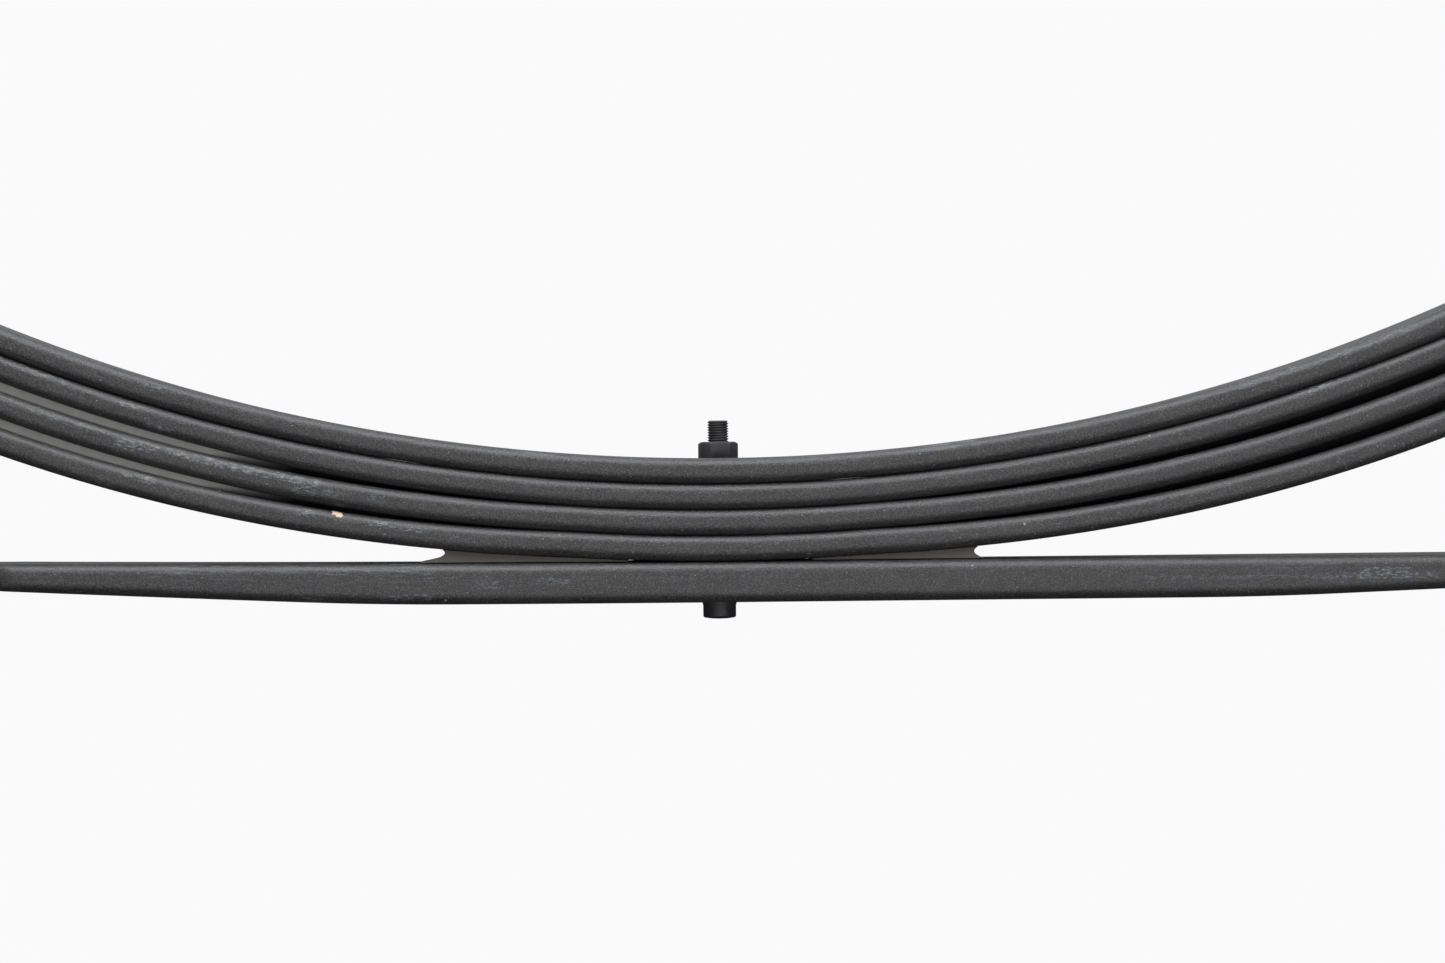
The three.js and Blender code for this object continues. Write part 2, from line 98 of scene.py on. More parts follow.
world = bpy.data.worlds.new("studio")
world.use_nodes = True
bpy.context.scene.world = world
tree = world.node_tree
tree.nodes.clear()
direction = tree.nodes.new("ShaderNodeTexCoord")
height = tree.nodes.new("ShaderNodeSeparateXYZ")
dome = tree.nodes.new("ShaderNodeMapRange")
for key, number in (("From Min", -0.05), ("From Max", 0.8), ("To Min", 0.06), ("To Max", 0.9)):
    dome.inputs[key].default_value = number
surroundings = tree.nodes.new("ShaderNodeBackground")
surroundings.inputs["Color"].default_value = (0.97, 0.985, 1, 1)
seen = tree.nodes.new("ShaderNodeBackground")
seen.inputs["Color"].default_value = (0.955, 0.955, 0.965, 1)
rays = tree.nodes.new("ShaderNodeLightPath")
choose = tree.nodes.new("ShaderNodeMixShader")
output = tree.nodes.new("ShaderNodeOutputWorld")
tree.links.new(direction.outputs["Generated"], height.inputs["Vector"])
tree.links.new(height.outputs["Z"], dome.inputs["Value"])
tree.links.new(dome.outputs["Result"], surroundings.inputs["Strength"])
tree.links.new(rays.outputs["Is Camera Ray"], choose.inputs["Fac"])
tree.links.new(surroundings.outputs[0], choose.inputs[1])
tree.links.new(seen.outputs[0], choose.inputs[2])
tree.links.new(choose.outputs[0], output.inputs["Surface"])


def soft_light(name, size, place, aim_at, watts):
    data = bpy.data.lights.new(name, "AREA")
    data.shape = "RECTANGLE"
    data.size, data.size_y = size
    data.energy = watts
    data.color = (0.95, 0.955, 1)
    lamp = bpy.data.objects.new(name, data)
    bpy.context.collection.objects.link(lamp)
    lamp.location = place
    lamp.rotation_euler = (Vector(aim_at) - Vector(place)).to_track_quat("-Z", "Y").to_euler()
    return lamp


soft_light("overhead_softbox", (2.8, 0.7), (-0.2, -0.75, 1.6), (0, 0, 0.1), 46)
soft_light("front_softbox", (2.4, 0.45), (0.25, -1.75, -0.30), (0.05, 0, 0.06), 13)

bpy.ops.object.select_all(action="DESELECT")
bpy.ops.mesh.primitive_circle_add(
    vertices=96, radius=1.5, fill_type="NGON", location=(0, 0, cad_box[0][2] - 0.42))
floor = bpy.context.object
floor.name = "studio_floor"
floor.visible_diffuse = False
floor.visible_glossy = False
floor_paint = bpy.data.materials.new("pale_floor")
floor_paint.use_nodes = True
shader = floor_paint.node_tree.nodes["Principled BSDF"]
shader.inputs["Base Color"].default_value = (0.78, 0.78, 0.79, 1)
shader.inputs["Roughness"].default_value = 0.7
floor.data.materials.append(floor_paint)


# ---- Leaf paint ----
# Satin charcoal paint over rolled spring steel: fine orange peel, specks of dust, and scuffs that run along
# the bar. Patterns read each leaf's own place on the straight bar, so that they follow its bend.

def new_material(name):
    material = bpy.data.materials.new(name)
    material.use_nodes = True
    return material, material.node_tree, material.node_tree.nodes["Principled BSDF"]


def pattern_place(tree, attribute=None, scale=(1, 1, 1), shift=(0, 0, 0)):
    """A stretched and shifted place for a pattern: a named attribute, or else Object coordinates."""
    mapping = tree.nodes.new("ShaderNodeMapping")
    mapping.inputs["Scale"].default_value = scale
    mapping.inputs["Location"].default_value = shift
    if attribute:
        source = tree.nodes.new("ShaderNodeAttribute")
        source.attribute_name = attribute
        tree.links.new(source.outputs["Vector"], mapping.inputs["Vector"])
    else:
        source = tree.nodes.new("ShaderNodeTexCoord")
        tree.links.new(source.outputs["Object"], mapping.inputs["Vector"])
    return mapping.outputs["Vector"]


def noise(tree, place, scale, detail=3.0, roughness=0.55):
    node = tree.nodes.new("ShaderNodeTexNoise")
    node.inputs["Scale"].default_value = scale
    node.inputs["Detail"].default_value = detail
    node.inputs["Roughness"].default_value = roughness
    tree.links.new(place, node.inputs["Vector"])
    return node.outputs["Fac"]


def remap(tree, value, low, high, to_low=0.0, to_high=1.0):
    node = tree.nodes.new("ShaderNodeMapRange")
    for key, number in (("From Min", low), ("From Max", high), ("To Min", to_low), ("To Max", to_high)):
        node.inputs[key].default_value = number
    tree.links.new(value, node.inputs["Value"])
    return node.outputs["Result"]


def times(tree, first, second):
    node = tree.nodes.new("ShaderNodeMath")
    node.operation = "MULTIPLY"
    for slot, value in zip(node.inputs, (first, second)):
        if isinstance(value, (int, float)):
            slot.default_value = value
        else:
            tree.links.new(value, slot)
    return node.outputs[0]


def plus(tree, first, second):
    node = tree.nodes.new("ShaderNodeMath")
    node.operation = "ADD"
    node.use_clamp = True
    tree.links.new(first, node.inputs[0])
    tree.links.new(second, node.inputs[1])
    return node.outputs[0]


def mix_colour(tree, factor, first, second):
    node = tree.nodes.new("ShaderNodeMix")
    node.data_type = "RGBA"
    tree.links.new(factor, node.inputs["Factor"])
    for slot, value in ((node.inputs["A"], first), (node.inputs["B"], second)):
        if isinstance(value, tuple):
            slot.default_value = (*value, 1)
        else:
            tree.links.new(value, slot)
    return node.outputs["Result"]


def bump(tree, height, distance, normal=None):
    node = tree.nodes.new("ShaderNodeBump")
    node.inputs["Distance"].default_value = distance
    tree.links.new(height, node.inputs["Height"])
    if normal is not None:
        tree.links.new(normal, node.inputs["Normal"])
    return node.outputs["Normal"]


def specks(tree, place, scale, size, share):
    """Small dots, one to a cell in a share of the cells."""
    cells = tree.nodes.new("ShaderNodeTexVoronoi")
    cells.inputs["Scale"].default_value = scale
    tree.links.new(place, cells.inputs["Vector"])
    dot = remap(tree, cells.outputs["Distance"], size * 0.6, size, 1.0, 0.0)
    chosen = tree.nodes.new("ShaderNodeSeparateColor")
    tree.links.new(cells.outputs["Color"], chosen.inputs["Color"])
    kept = remap(tree, chosen.outputs["Red"], 1 - share, 1 - share + 0.01)
    return times(tree, dot, kept)


def window(tree, value, low, high, soft):
    """1 between two limits, falling to 0 a little way outside them."""
    return times(tree, remap(tree, value, low - soft, low), remap(tree, value, high, high + soft, 1.0, 0.0))


def leaf_paint(name, half_thickness, seed, wear=0.5, rubbed=(), chips=()):
    """Each rubbed place is (from x, to x, from z, to z, amount) on the bar's near side; a chip is (x, z)."""
    material, tree, shader = new_material(name)
    links = tree.links
    place = pattern_place(tree, "bar_place", shift=(seed * 3.7, seed * 1.3, 0))
    streaked = pattern_place(tree, "bar_place", scale=(0.06, 1, 1), shift=(seed * 1.9, 0, 0))
    lengthwise = pattern_place(tree, "bar_place", scale=(0.3, 1, 1), shift=(seed * 2.3, 0, 0))

    # warm charcoal in cloudy patches under a fine, salt-like grain
    clouds = noise(tree, lengthwise, 110, 5, 0.65)
    grain = noise(tree, place, 1250, 3, 0.75)
    cloudy = remap(tree, clouds, 0.32, 0.68)
    colour = mix_colour(tree, cloudy, (0.023, 0.0228, 0.0222), (0.041, 0.0405, 0.0395))
    colour = mix_colour(tree, remap(tree, grain, 0.36, 0.5, 0.8, 0), colour, (0.010, 0.010, 0.009))
    colour = mix_colour(tree, remap(tree, grain, 0.52, 0.68, 0, 0.8), colour, (0.108, 0.106, 0.101))

    # scuffs along the bar's upper edge, and long faint rubs
    bar = tree.nodes.new("ShaderNodeAttribute")
    bar.attribute_name = "bar_place"
    parts = tree.nodes.new("ShaderNodeSeparateXYZ")
    links.new(bar.outputs["Vector"], parts.inputs["Vector"])
    along, across, up = parts.outputs
    upper = remap(tree, up, half_thickness * 0.3, half_thickness * 0.8)
    where = remap(tree, noise(tree, place, 14, 3), 0.52, 0.66)
    strokes = remap(tree, noise(tree, streaked, 1000, 4, 0.7), 0.54, 0.66)
    worn = times(tree, times(tree, times(tree, strokes, where), upper), wear)
    rubs = times(tree, remap(tree, noise(tree, streaked, 420, 6, 0.75), 0.57, 0.68),
                 remap(tree, noise(tree, place, 7, 2), 0.54, 0.7))
    worn = plus(tree, worn, times(tree, rubs, wear * 0.5))

    # heavier rubbing at set places on the near side
    near_side = remap(tree, across, -0.027, -0.031)
    blotches = remap(tree, noise(tree, lengthwise, 1000, 5, 0.8), 0.5, 0.6)
    for x_low, x_high, z_low, z_high, amount in rubbed:
        spot = times(tree, window(tree, along, x_low, x_high, 0.004), window(tree, up, z_low, z_high, 0.0008))
        worn = plus(tree, worn, times(tree, times(tree, spot, blotches), times(tree, near_side, amount)))
    colour = mix_colour(tree, worn, colour, (0.20, 0.205, 0.22))

    # pale dust, a few larger grains, and flakes of tan primer
    dust = specks(tree, place, 330, 0.14, 0.2)
    grit = specks(tree, place, 95, 0.075, 0.12)
    pale = plus(tree, times(tree, dust, 0.5), times(tree, grit, 0.8))
    colour = mix_colour(tree, pale, colour, (0.36, 0.34, 0.30))
    for x, z in chips:
        ragged = remap(tree, noise(tree, place, 330, 3), 0.3, 0.7, -0.45, 0.45)
        spot = times(
            tree, window(tree, along, x - 0.0012, x + 0.0012, 0.0030), window(tree, up, z, z, 0.0024))
        chip = remap(tree, plus(tree, times(tree, spot, near_side), ragged), 0.44, 0.5)
        colour = mix_colour(tree, chip, colour, (0.60, 0.44, 0.33))
    links.new(colour, shader.inputs["Base Color"])

    gloss = remap(tree, clouds, 0.3, 0.7, 0.38, 0.5)
    links.new(plus(tree, gloss, times(tree, worn, 0.15)), shader.inputs["Roughness"])
    shader.inputs["Specular IOR Level"].default_value = 0.6

    peel = bump(tree, grain, 0.00022)
    rolled = bump(tree, noise(tree, lengthwise, 130, 4), 0.0004, peel)
    lumps = bump(tree, pale, 0.0002, rolled)
    links.new(lumps, shader.inputs["Normal"])
    return material


# ---- Main leaf and second leaf ----
# The two full-length leaves, 70 x 12 mm spring steel bar, hot rolled and bent to an arch. The main leaf's
# ends are rolled up into eyes and the second leaf's ends wrap part of the way around them. Each half is
# drawn as a straight bar with rounded edges, rolled along its arch, and drilled for the centre bolt.

CLEARANCE = 0.0003
LEAF_WIDTH = 0.070
LEAF_THICKNESS = 0.0121
LEAF_PITCH = LEAF_THICKNESS + CLEARANCE
BAR_THICKNESS = LEAF_PITCH - 0.00004
LEAF_EDGE = 0.0048
BOLT_HOLE = 0.00545
MAIN_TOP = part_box("centre_nut")[0][2] - CLEARANCE
ARCH_END = 0.380
OUTER_RADIUS = 1.400
ARCH_RADIUS = {"front": 0.930, "rear": 0.930}
SIDE = {"front": -1, "rear": 1}
EYE_AT = {"front": 0.580, "rear": 0.640}
EYE_BORE = 0.022
EYE_END_GAP = 0.0012
WRAP_PLAY = 0.003


def slope(half, along):
    arched = min(along, ARCH_END)
    return arched / ARCH_RADIUS[half] + (along - arched) / OUTER_RADIUS


def arch_point(half, along, depth):
    """A point of the arch, drawn towards +X: so far from the bolt, and so deep under the main leaf's top."""
    radius = ARCH_RADIUS[half]
    angle = slope(half, along)
    arched = min(angle, ARCH_END / radius)
    reach = radius * math.sin(arched) + OUTER_RADIUS * (math.sin(angle) - math.sin(arched))
    rise = radius * (1 - math.cos(arched)) + OUTER_RADIUS * (math.cos(arched) - math.cos(angle))
    return Vector((reach + depth * math.sin(angle), 0, MAIN_TOP + rise - depth * math.cos(angle)))


def deselect_all():
    bpy.ops.object.select_all(action="DESELECT")


def make_active(piece):
    deselect_all()
    piece.select_set(True)
    bpy.context.view_layer.objects.active = piece


def pick_edges(piece, rule):
    """Selects the edges, in edit mode, that meet the rule."""
    mesh = bmesh.from_edit_mesh(piece.data)
    for face in mesh.faces:
        face.select = False
    for edge in mesh.edges:
        edge.select = rule(edge)
    mesh.select_flush_mode()
    bmesh.update_edit_mesh(piece.data)


def pick_faces(piece, rule):
    mesh = bmesh.from_edit_mesh(piece.data)
    for edge in mesh.edges:
        edge.select = False
    for face in mesh.faces:
        face.select = rule(face)
    mesh.select_flush_mode()
    bmesh.update_edit_mesh(piece.data)


def is_corner(edge):
    return len(edge.link_faces) == 2 and edge.calc_face_angle() > math.radians(30)


def straight_bar(name, length, thickness, edge_radius, trim=None, width=LEAF_WIDTH):
    """Half a leaf: a straight bar along +X from the bolt, long edges rounded, its tip's corners cut."""
    body = length - (trim[0] if trim else 0)
    deselect_all()
    bpy.ops.mesh.primitive_cube_add(size=1, location=(body / 2, 0, 0), scale=(body, width, thickness))
    piece = bpy.context.object
    piece.name = name
    bpy.ops.object.transform_apply(location=True, rotation=True, scale=True)
    bpy.ops.object.mode_set(mode="EDIT")
    bpy.ops.mesh.select_mode(type="EDGE")
    pick_edges(piece, lambda edge: abs(edge.verts[0].co.x - edge.verts[1].co.x) > body / 2)
    bpy.ops.mesh.subdivide(number_cuts=round(body / 0.006))
    if trim:
        bpy.ops.mesh.select_mode(type="FACE")
        pick_faces(piece, lambda face: face.normal.x > 0.9)
        bpy.ops.mesh.extrude_region_move(TRANSFORM_OT_translate={"value": (trim[0], 0, 0)})
        bpy.ops.transform.resize(value=(1, 1 - 2 * trim[1] / width, 1), center_override=(length, 0, 0))
        bpy.ops.mesh.select_mode(type="EDGE")
    pick_edges(piece, lambda edge: is_corner(edge) and max(v.co.x for v in edge.verts) > 1e-6)
    bpy.ops.mesh.bevel(offset=edge_radius, segments=6, affect="EDGES", clamp_overlap=True)
    bpy.ops.object.mode_set(mode="OBJECT")
    return piece


def remember_bar(piece, side):
    """Keeps each point's place on the straight bar, for the paint."""
    place = piece.data.attributes.new("bar_place", "FLOAT_VECTOR", "POINT")
    for item, vertex in zip(place.data, piece.data.vertices):
        item.vector = (side * vertex.co.x, vertex.co.y, vertex.co.z)


def bend_along(piece, points):
    """Rolls a straight bar along a line of points in the XZ plane."""
    curve = bpy.data.curves.new("bend_line", "CURVE")
    curve.dimensions = "3D"
    curve.twist_mode = "MINIMUM"
    spline = curve.splines.new("POLY")
    spline.points.add(len(points) - 1)
    for item, point in zip(spline.points, points):
        item.co = (*point, 1)
    line = bpy.data.objects.new("bend_line", curve)
    bpy.context.collection.objects.link(line)
    make_active(piece)
    roller = piece.modifiers.new("roll", "CURVE")
    roller.object = line
    bpy.ops.object.modifier_apply(modifier="roll")
    bpy.data.objects.remove(line)


def cut_with(piece, cutter, operation="DIFFERENCE"):
    """Takes a cutter's shape out of a piece, or keeps only what they share, and removes the cutter."""
    make_active(piece)
    boolean = piece.modifiers.new("cut", "BOOLEAN")
    boolean.operation = operation
    boolean.solver = "EXACT"
    boolean.object = cutter
    bpy.ops.object.modifier_apply(modifier="cut")
    bpy.data.objects.remove(cutter)


def rod_cutter(radius, length, centre, axis="Z"):
    deselect_all()
    rotation = {"Z": (0, 0, 0), "Y": (math.pi / 2, 0, 0)}[axis]
    bpy.ops.mesh.primitive_cylinder_add(
        vertices=64, radius=radius, depth=length, location=centre, rotation=rotation)
    cutter = bpy.context.object
    bpy.ops.object.transform_apply(location=True, rotation=True, scale=True)
    return cutter


def smooth(piece, degrees=35):
    make_active(piece)
    bpy.ops.object.shade_smooth_by_angle(angle=math.radians(degrees))


def length_of(points):
    return sum((b - a).length for a, b in zip(points, points[1:]))


def turn_to_front(piece):
    """Mirrors a half drawn towards +X to the front of the spring."""
    piece.data.transform(Matrix.Scale(-1, 4, (1, 0, 0)))
    piece.data.flip_normals()


def leaf_half(node, half, line, material, trim=None):
    """Half a leaf: a bar, drilled for the centre bolt, painted, and rolled along its middle line."""
    piece = straight_bar(f"{node}_{half}_half", length_of(line), BAR_THICKNESS, LEAF_EDGE, trim)
    cut_with(piece, rod_cutter(BOLT_HOLE, 3 * BAR_THICKNESS, (0, 0, 0)))
    remember_bar(piece, SIDE[half])
    bend_along(piece, line)
    if half == "front":
        turn_to_front(piece)
    smooth(piece)
    piece.data.materials.clear()
    piece.data.materials.append(material)
    bend_with_pack(piece, node)


def bend_with_pack(piece, node):
    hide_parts(node)
    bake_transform(piece)


def rolled_line(half, depth, radius, sweep):
    """The middle line of a leaf from the bolt to the end of its roll."""
    middle = depth + LEAF_THICKNESS / 2
    steps = round(EYE_AT[half] / 0.004)
    points = [arch_point(half, EYE_AT[half] * i / steps, middle) for i in range(steps + 1)]
    centre = arch_point(half, EYE_AT[half], depth - radius)
    start = slope(half, EYE_AT[half])
    turns = math.ceil(sweep / math.radians(3))
    for i in range(1, turns + 1):
        angle = start + sweep * i / turns
        arm = radius + LEAF_THICKNESS / 2
        points.append(centre + arm * Vector((math.sin(angle), 0, -math.cos(angle))))
    return points


EYE_OUTER = EYE_BORE + LEAF_THICKNESS
rolls = {
    "main_leaf": (0, EYE_BORE, 2 * math.pi - math.acos((EYE_BORE - EYE_END_GAP) / EYE_OUTER)),
    "second_leaf": (LEAF_PITCH, EYE_OUTER + CLEARANCE + WRAP_PLAY, math.radians(104)),
}
rolled_paint = {
    "main_leaf": leaf_paint("main_leaf_paint", BAR_THICKNESS / 2, 1, 0.6, rubbed=[
        (0.255, 0.345, 0.0025, 0.007, 0.35), (-0.280, -0.272, 0.001, 0.003, 0.6)]),
    "second_leaf": leaf_paint("second_leaf_paint", BAR_THICKNESS / 2, 2, 0.5, rubbed=[
        (-0.345, -0.322, 0.003, 0.0055, 0.7), (-0.292, -0.283, 0.002, 0.004, 0.8),
        (-0.275, -0.268, -0.004, -0.0025, 0.7), (0.286, 0.305, 0.004, 0.0055, 0.9)]),
}
for node, (depth, radius, sweep) in rolls.items():
    for half in SIDE:
        leaf_half(node, half, rolled_line(half, depth, radius, sweep), rolled_paint[node])


# ---- Third leaf and fourth leaf ----
# Shorter leaves of the same bar, with plain ends whose corners are trimmed off. They part slightly from the
# leaves above as they near their tips, where a pad holds them off.

NIP_START = 0.070
NIP_END = 0.400
NIP_GAP = {"front": 0.0043, "rear": 0.0043}
TIP_TRIM = (0.022, 0.014)
TIP_AT = {
    "third_leaf": {"front": 0.490, "rear": 0.550},
    "fourth_leaf": {"front": 0.410, "rear": 0.470},
}
LEAVES_ABOVE = {"second_leaf": 1, "third_leaf": 2, "fourth_leaf": 3}


def nip(half, along):
    share = min(max((along - NIP_START) / (NIP_END - NIP_START), 0), 1)
    return NIP_GAP[half] * math.sin(math.pi / 2 * share)


def top_depth(node, half, along):
    above = LEAVES_ABOVE[node]
    return above * LEAF_PITCH + (above - 1) * nip(half, along)


plain_paint = {
    "third_leaf": leaf_paint("third_leaf_paint", BAR_THICKNESS / 2, 3, 0.7, rubbed=[
        (-0.345, -0.300, 0.002, 0.0045, 0.5), (-0.291, -0.285, -0.001, 0.003, 1.0),
        (-0.281, -0.274, 0.0005, 0.004, 1.0), (-0.266, -0.196, 0.0018, 0.0045, 1.0),
        (-0.204, -0.198, -0.003, 0.003, 0.9), (-0.190, -0.184, -0.001, 0.001, 0.8),
        (-0.170, -0.164, -0.001, 0.002, 0.6)]),
    "fourth_leaf": leaf_paint("fourth_leaf_paint", BAR_THICKNESS / 2, 4, 0.5, rubbed=[
        (-0.288, -0.276, 0.002, 0.0045, 1.0), (-0.300, -0.294, -0.004, -0.002, 0.5),
        (-0.202, -0.198, 0.002, 0.0045, 0.9), (-0.167, -0.163, 0.002, 0.004, 1.0),
        (-0.158, -0.144, 0.0012, 0.003, 0.9), (-0.128, -0.122, -0.001, 0.001, 0.4)],
        chips=[(-0.1845, 0.0050)]),
}
for node, tips in TIP_AT.items():
    for half in SIDE:
        steps = round(tips[half] / 0.004)
        alongs = [tips[half] * i / steps for i in range(steps + 1)]
        line = [arch_point(half, a, top_depth(node, half, a) + LEAF_THICKNESS / 2) for a in alongs]
        leaf_half(node, half, line, plain_paint[node], TIP_TRIM)


# ---- Strips and tip pads between the leaves ----
# Grey polymer strips lie over the third and fourth leaves where the pack opens, narrow near the seat, and a
# black moulded pad keeps each tip off the leaf above. Near the seat and all along the rear half the strips
# are painted black, a painted shade for the deep gap.

STRIP_FROM = 0.078
STRIP_NARROW = 0.011
STRIP_WIDEN = (0.205, 0.240)
STRIP_HALF_WIDTH = {"front": 0.0288, "rear": 0.011}
STRIP_PLAY = 0.00018
PAD_FROM_TIP = 0.022
PAD_SIZE = (0.0296, 0.0416)
LEAF_OVER = {"third_leaf": "second_leaf", "fourth_leaf": "third_leaf"}


def block_in_gap(name, near, far, width, cuts):
    """A flat block between a leaf and the one above it, from one distance along the bar to another."""
    deselect_all()
    bpy.ops.mesh.primitive_cube_add(
        size=1, location=((near + far) / 2, 0, 0), scale=(far - near, width, 1))
    piece = bpy.context.object
    piece.name = name
    bpy.ops.object.transform_apply(location=True, rotation=True, scale=True)
    bpy.ops.object.mode_set(mode="EDIT")
    bpy.ops.mesh.select_mode(type="EDGE")
    pick_edges(piece, lambda edge: abs(edge.verts[0].co.x - edge.verts[1].co.x) > (far - near) / 2)
    bpy.ops.mesh.subdivide(number_cuts=cuts)
    bpy.ops.object.mode_set(mode="OBJECT")
    return piece


def set_in_gap(piece, node, half):
    """Moves a block's points, whose heights run from -0.5 to 0.5, to their places in the gap."""
    for vertex in piece.data.vertices:
        along, y, level = vertex.co
        upper = top_depth(LEAF_OVER[node], half, along) + LEAF_THICKNESS + STRIP_PLAY
        lower = top_depth(node, half, along) - STRIP_PLAY
        place = arch_point(half, along, lower + (upper - lower) * (level + 0.5))
        vertex.co = (place.x, y, place.z)


def round_corners(piece, radius, segments=3, degrees=30):
    make_active(piece)
    softening = piece.modifiers.new("soften", "BEVEL")
    softening.width = radius
    softening.segments = segments
    softening.limit_method = "ANGLE"
    softening.angle_limit = math.radians(degrees)
    softening.harden_normals = False
    bpy.ops.object.modifier_apply(modifier="soften")


def along_spring(tree):
    place = tree.nodes.new("ShaderNodeTexCoord")
    parts = tree.nodes.new("ShaderNodeSeparateXYZ")
    tree.links.new(place.outputs["Object"], parts.inputs["Vector"])
    return parts.outputs["X"]


def polymer(name, dark, light, seed, coarse=140, painted_shade_span=None):
    """Moulded polymer, mottled and dusty. Painted shade span: where along X the colour starts to fade to
    black as painted shade, and where it is fully black.
    """
    material, tree, shader = new_material(name)
    place = pattern_place(tree, shift=(seed, 0, 0))
    mottle = noise(tree, place, coarse, 4)
    colour = mix_colour(tree, remap(tree, mottle, 0.35, 0.65), dark, light)
    dust = specks(tree, place, 300, 0.1, 0.15)
    colour = mix_colour(tree, times(tree, dust, 0.25), colour, (0.45, 0.43, 0.40))
    # painted shade: from the first X of the span to the second the colour fades to black, and stays black
    # towards +X, standing in for the shade deep in the gap between the leaves
    if painted_shade_span:
        colour = mix_colour(tree, remap(tree, along_spring(tree), *painted_shade_span), colour, (0.010, 0.010, 0.010))
    tree.links.new(colour, shader.inputs["Base Color"])
    tree.links.new(remap(tree, mottle, 0.3, 0.7, 0.72, 0.88), shader.inputs["Roughness"])
    tree.links.new(bump(tree, noise(tree, place, 900, 2), 0.00008), shader.inputs["Normal"])
    return material


# the strips are painted black with shade inboard of 0.205 m on the front half and all along the rear half
strip_polymer = polymer("strip_polymer", (0.33, 0.325, 0.305), (0.39, 0.385, 0.36), 1,
                        painted_shade_span=(-0.240, -0.205))
pad_polymer = polymer("pad_polymer", (0.016, 0.016, 0.016), (0.026, 0.026, 0.026), 2, 300)
for node, tips in TIP_AT.items():
    leaf = node.removesuffix("_leaf")
    for half in SIDE:
        pad_at = tips[half] - PAD_FROM_TIP
        strip = block_in_gap(f"{leaf}_strip_{half}_moulded", STRIP_FROM,
                             pad_at - PAD_SIZE[0] / 2 - 0.004, 1, 60)
        for vertex in strip.data.vertices:
            widened = (vertex.co.x - STRIP_WIDEN[0]) / (STRIP_WIDEN[1] - STRIP_WIDEN[0])
            share = min(max(widened, 0), 1)
            half_width = STRIP_NARROW + share * (STRIP_HALF_WIDTH[half] - STRIP_NARROW)
            vertex.co.y *= 2 * half_width
        set_in_gap(strip, node, half)

        pad = block_in_gap(f"{leaf}_pad_{half}_moulded", pad_at - PAD_SIZE[0] / 2,
                           pad_at + PAD_SIZE[0] / 2, PAD_SIZE[1], 0)
        bpy.ops.object.mode_set(mode="EDIT")
        pick_edges(pad, lambda edge: abs(edge.verts[0].co.z - edge.verts[1].co.z) > 0.5)
        bpy.ops.mesh.bevel(offset=0.005, segments=6, affect="EDGES")
        bpy.ops.object.mode_set(mode="OBJECT")
        set_in_gap(pad, node, half)
        round_corners(pad, 0.0007, 3, 50)

        for piece, material, slot in ((strip, strip_polymer, "liner"), (pad, pad_polymer, "tip_pad")):
            if half == "front":
                turn_to_front(piece)
            smooth(piece)
            piece.data.materials.clear()
            piece.data.materials.append(material)
            if piece is strip:
                bend_with_pack(strip, f"{leaf}_leaf_strip_{half}")
            else:
                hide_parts(f"{leaf}_leaf_pad_{half}")
                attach(pad, f"{half}_end")


# ---- Overload leaf ----
# One thick bar under the pack, flat on top and tapered on its underside towards both tips. It takes load
# only once the arched leaves come down on it.

OVERLOAD_THICKNESS = 0.0198
OVERLOAD_EDGE = 0.0053
OVERLOAD_TAPER = 0.036
OVERLOAD_TIP = 0.011
TAPER_FROM = {"front": 0.130, "rear": 0.230}
TAPER_BLEND = 0.070
OVERLOAD_SWEEP_RADIUS = 25.0
overload_low, overload_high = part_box("overload_leaf")
deselect_all()
span = overload_high[0] - overload_low[0]
middle = (overload_high[0] + overload_low[0]) / 2
inner_span = span - 2 * TIP_TRIM[0]
bpy.ops.mesh.primitive_cube_add(
    size=1, location=(middle, 0, OVERLOAD_THICKNESS / 2), scale=(inner_span, LEAF_WIDTH, OVERLOAD_THICKNESS))
overload = bpy.context.object
overload.name = "overload_leaf_bar"
bpy.ops.object.transform_apply(location=True, rotation=True, scale=True)
bpy.ops.object.mode_set(mode="EDIT")
bpy.ops.mesh.select_mode(type="EDGE")
pick_edges(overload, lambda edge: abs(edge.verts[0].co.x - edge.verts[1].co.x) > inner_span / 2)
bpy.ops.mesh.subdivide(number_cuts=round(inner_span / 0.008))
bpy.ops.mesh.select_mode(type="FACE")
for direction, tip in ((-1, overload_low[0]), (1, overload_high[0])):
    pick_faces(overload, lambda face: face.normal.x * direction > 0.9)
    bpy.ops.mesh.extrude_region_move(TRANSFORM_OT_translate={"value": (direction * TIP_TRIM[0], 0, 0)})
    bpy.ops.transform.resize(value=(1, 1 - 2 * TIP_TRIM[1] / LEAF_WIDTH, 1), center_override=(tip, 0, 0))
bpy.ops.object.mode_set(mode="OBJECT")
for vertex in overload.data.vertices:
    x, z = vertex.co.x, vertex.co.z
    start = TAPER_FROM["front" if x < 0 else "rear"]
    if z < OVERLOAD_THICKNESS / 2:
        tapered = max(0, abs(x) - start)
        blended = min(tapered, TAPER_BLEND)
        lift = OVERLOAD_TAPER * (blended ** 2 / (2 * TAPER_BLEND) + tapered - blended)
        vertex.co.z += min(lift, OVERLOAD_THICKNESS - OVERLOAD_TIP)
    if x < 0:
        vertex.co.z += x * x / (2 * OVERLOAD_SWEEP_RADIUS)
bpy.ops.object.mode_set(mode="EDIT")
bpy.ops.mesh.select_mode(type="EDGE")
pick_edges(overload, is_corner)
bpy.ops.mesh.bevel(offset=OVERLOAD_EDGE, segments=6, affect="EDGES", clamp_overlap=True)
bpy.ops.object.mode_set(mode="OBJECT")
cut_with(overload, rod_cutter(BOLT_HOLE, 0.1, (0, 0, 0)))
remember_bar(overload, 1)
smooth(overload)
overload.data.materials.clear()
